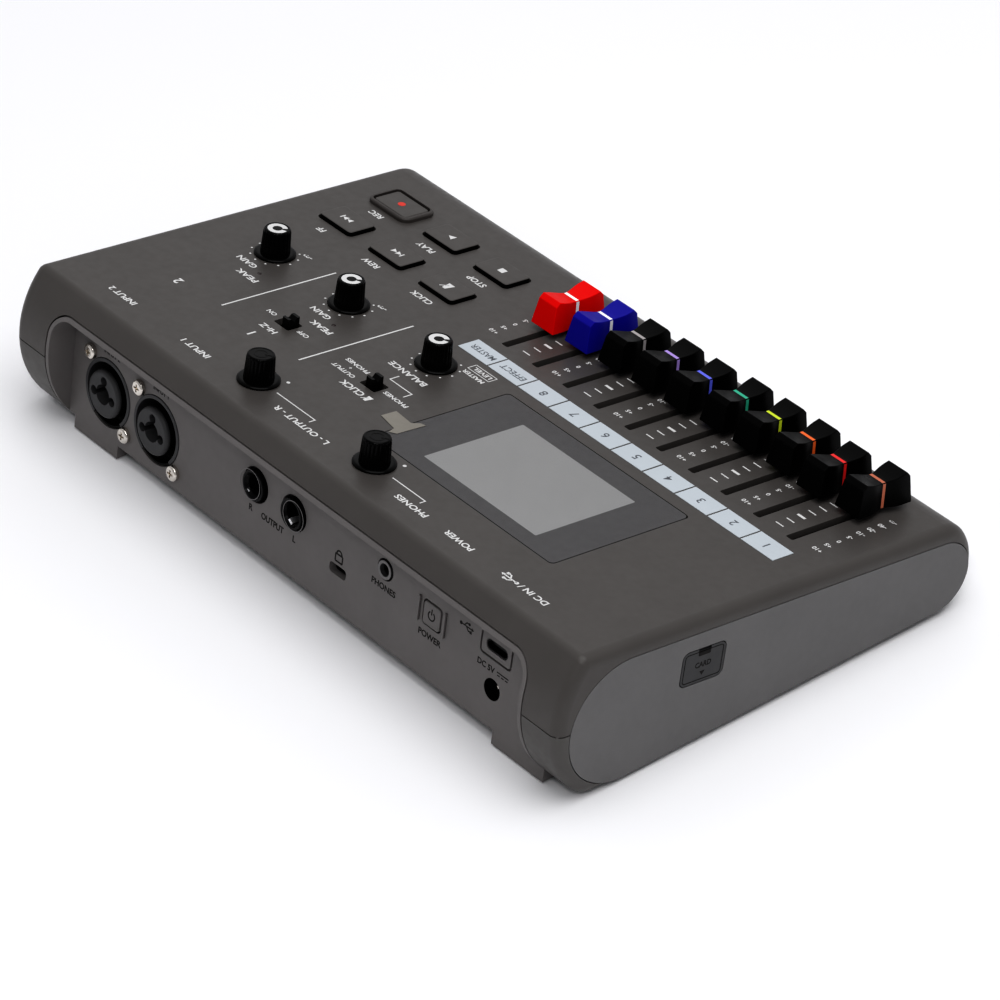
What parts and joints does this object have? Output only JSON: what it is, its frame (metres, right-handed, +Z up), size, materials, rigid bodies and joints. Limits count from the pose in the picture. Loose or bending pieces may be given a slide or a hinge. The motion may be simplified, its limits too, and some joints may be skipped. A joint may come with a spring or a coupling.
{
  "type": "portable field recorder",
  "caption": "Portable multitrack audio recorder: wedge-shaped desktop case with faders, knobs, transport keys, a display, rear connector bay, card door and battery cover.",
  "frame": {"origin": "middle of the footprint, on the table the feet stand on", "axes": "+X towards the user's right along the case's length, -Y towards the user, +Z up"},
  "size_m": [0.2566, 0.1592, 0.0569],
  "materials": {
    "case_plastic": "fine moulded grain",
    "panel_plastic": "fine moulded grain",
    "inlay_plastic": "satin",
    "lens_plastic": "satin hard coat",
    "lcd_glass": "unlit display",
    "film": "clear film",
    "label": "satin print",
    "board": "solder mask",
    "black_moulding": "moulded",
    "lamp": "clear",
    "nickel": "bright nickel plate",
    "black_steel": "black oxide",
    "jack_plastic": "moulded",
    "port_steel": "stamped",
    "door_rubber": "matt",
    "cover_plastic": "fine moulded grain",
    "cell_wrap": "printed sleeve",
    "foot_rubber": "matt",
    "button_plastic": "satin",
    "knob_plastic": "satin",
    "key_plastic": "satin",
    "ring_plastic": "satin",
    "cap_red": "satin",
    "cap_blue": "satin",
    "cap_black": "satin"
  },
  "bodies": {
    "chassis": {"top_case": "case_plastic", "bottom_case": "case_plastic", "rear_panel": "panel_plastic", "left_inlay": "inlay_plastic", "right_inlay": "inlay_plastic", "display_lens": "lens_plastic", "lcd_module": "lcd_glass", "screen_film": "film", "track_labels": "label", "main_board": "board", "jack_boards": "board", "potentiometers": "black_moulding", "fader_units": "black_moulding", "key_switches": "black_moulding", "slide_switch_bodies": "black_moulding", "power_switch": "black_moulding", "card_socket": "black_moulding", "peak_lamps": "lamp", "jack_screws": "nickel", "case_screws": "black_steel", "input_1_jack": "jack_plastic", "input_2_jack": "jack_plastic", "output_jacks": "jack_plastic", "phones_jack": "jack_plastic", "dc_jack": "jack_plastic", "usb_port": "port_steel", "battery_contacts": "port_steel", "battery_cells": "cell_wrap", "feet": "foot_rubber", "record_ring": "ring_plastic"},
    "fader_master": {"fader_cap_master": "cap_red"},
    "fader_effect": {"fader_cap_effect": "cap_blue"},
    "fader_8": {"fader_cap_8": "cap_black"},
    "fader_7": {"fader_cap_7": "cap_black"},
    "fader_6": {"fader_cap_6": "cap_black"},
    "fader_5": {"fader_cap_5": "cap_black"},
    "fader_4": {"fader_cap_4": "cap_black"},
    "fader_3": {"fader_cap_3": "cap_black"},
    "fader_2": {"fader_cap_2": "cap_black"},
    "fader_1": {"fader_cap_1": "cap_black"},
    "gain_2": {"gain_2_knob": "knob_plastic"},
    "gain_1": {"gain_1_knob": "knob_plastic"},
    "balance": {"balance_knob": "knob_plastic"},
    "output": {"output_knob": "knob_plastic"},
    "phones": {"phones_knob": "knob_plastic"},
    "record_key": {"record_key": "key_plastic"},
    "play_key": {"play_key": "key_plastic"},
    "stop_key": {"stop_key": "key_plastic"},
    "forward_key": {"forward_key": "key_plastic"},
    "rewind_key": {"rewind_key": "key_plastic"},
    "click_key": {"click_key": "key_plastic"},
    "power_button": {"power_button": "button_plastic"},
    "input_1_latch": {"input_1_latch": "jack_plastic"},
    "input_2_latch": {"input_2_latch": "jack_plastic"},
    "hi_z_switch": {"hi_z_switch": "black_moulding"},
    "click_out_switch": {"click_out_switch": "black_moulding"},
    "card_door": {"card_door": "door_rubber"},
    "battery_cover": {"battery_cover": "cover_plastic"}
  },
  "joints": [
    {"name": "fader_master_slide", "type": "slide", "parent": "chassis", "child": "fader_master", "axis": [0, 0.9914, 0.1305], "range_m": [-0.0078, 0.0224]},
    {"name": "fader_effect_slide", "type": "slide", "parent": "chassis", "child": "fader_effect", "axis": [0, 0.9914, 0.1305], "range_m": [-0.0064, 0.0238]},
    {"name": "fader_8_slide", "type": "slide", "parent": "chassis", "child": "fader_8", "axis": [0, 0.9914, 0.1305], "range_m": [-0.0054, 0.0248]},
    {"name": "fader_7_slide", "type": "slide", "parent": "chassis", "child": "fader_7", "axis": [0, 0.9914, 0.1305], "range_m": [-0.0044, 0.0258]},
    {"name": "fader_6_slide", "type": "slide", "parent": "chassis", "child": "fader_6", "axis": [0, 0.9914, 0.1305], "range_m": [-0.0039, 0.0263]},
    {"name": "fader_5_slide", "type": "slide", "parent": "chassis", "child": "fader_5", "axis": [0, 0.9914, 0.1305], "range_m": [-0.0021, 0.0281]},
    {"name": "fader_4_slide", "type": "slide", "parent": "chassis", "child": "fader_4", "axis": [0, 0.9914, 0.1305], "range_m": [-0.0018, 0.0284]},
    {"name": "fader_3_slide", "type": "slide", "parent": "chassis", "child": "fader_3", "axis": [0, 0.9914, 0.1305], "range_m": [-0.0013, 0.0289]},
    {"name": "fader_2_slide", "type": "slide", "parent": "chassis", "child": "fader_2", "axis": [0, 0.9914, 0.1305], "range_m": [-0.0022, 0.028]},
    {"name": "fader_1_slide", "type": "slide", "parent": "chassis", "child": "fader_1", "axis": [0, 0.9914, 0.1305], "range_m": [0, 0.0302]},
    {"name": "gain_2_turn", "type": "hinge", "parent": "chassis", "child": "gain_2", "pos_m": [0.0983, 0.00227, 0.0401], "axis": [0, 0.1305, -0.9914], "range_deg": [0, 300]},
    {"name": "gain_1_turn", "type": "hinge", "parent": "chassis", "child": "gain_1", "pos_m": [0.0615, 0.00227, 0.0401], "axis": [0, 0.1305, -0.9914], "range_deg": [0, 300]},
    {"name": "balance_turn", "type": "hinge", "parent": "chassis", "child": "balance", "pos_m": [0.0195, 0.00227, 0.0401], "axis": [0, 0.1305, -0.9914], "range_deg": [0, 300]},
    {"name": "output_turn", "type": "hinge", "parent": "chassis", "child": "output", "pos_m": [0.0375, 0.05482, 0.04702], "axis": [0, 0.1305, -0.9914], "range_deg": [0, 300]},
    {"name": "phones_turn", "type": "hinge", "parent": "chassis", "child": "phones", "pos_m": [-0.0172, 0.05482, 0.04702], "axis": [0, 0.1305, -0.9914], "range_deg": [0, 300]},
    {"name": "record_key_press", "type": "slide", "parent": "chassis", "child": "record_key", "axis": [0, 0.1305, -0.9914], "range_m": [0, 0.0008], "stiffness_N_per_m": 600},
    {"name": "play_key_press", "type": "slide", "parent": "chassis", "child": "play_key", "axis": [0, 0.1305, -0.9914], "range_m": [0, 0.0008], "stiffness_N_per_m": 600},
    {"name": "stop_key_press", "type": "slide", "parent": "chassis", "child": "stop_key", "axis": [0, 0.1305, -0.9914], "range_m": [0, 0.0008], "stiffness_N_per_m": 600},
    {"name": "forward_key_press", "type": "slide", "parent": "chassis", "child": "forward_key", "axis": [0, 0.1305, -0.9914], "range_m": [0, 0.0008], "stiffness_N_per_m": 600},
    {"name": "rewind_key_press", "type": "slide", "parent": "chassis", "child": "rewind_key", "axis": [0, 0.1305, -0.9914], "range_m": [0, 0.0008], "stiffness_N_per_m": 600},
    {"name": "click_key_press", "type": "slide", "parent": "chassis", "child": "click_key", "axis": [0, 0.1305, -0.9914], "range_m": [0, 0.0008], "stiffness_N_per_m": 600},
    {"name": "power_press", "type": "slide", "parent": "chassis", "child": "power_button", "axis": [0, -0.9914, -0.1305], "range_m": [0, 0.0008], "stiffness_N_per_m": 600},
    {"name": "input_1_latch_press", "type": "slide", "parent": "chassis", "child": "input_1_latch", "axis": [0, -0.9914, -0.1305], "range_m": [0, 0.0015], "stiffness_N_per_m": 400},
    {"name": "input_2_latch_press", "type": "slide", "parent": "chassis", "child": "input_2_latch", "axis": [0, -0.9914, -0.1305], "range_m": [0, 0.0015], "stiffness_N_per_m": 400},
    {"name": "hi_z_slide", "type": "slide", "parent": "chassis", "child": "hi_z_switch", "axis": [1, 0, 0], "range_m": [0, 0.0024]},
    {"name": "click_out_slide", "type": "slide", "parent": "chassis", "child": "click_out_switch", "axis": [1, 0, 0], "range_m": [-0.0016, 0.0016]},
    {"name": "card_door_hinge", "type": "hinge", "parent": "chassis", "child": "card_door", "pos_m": [-0.1283, 0.02717, 0.02184], "axis": [0, -0.9914, -0.1305], "range_deg": [0, 100]},
    {"name": "battery_cover_hinge", "type": "hinge", "parent": "chassis", "child": "battery_cover", "pos_m": [0, -0.02617, 0.001], "axis": [-1, 0, 0], "range_deg": [0, 40]}
  ]
}
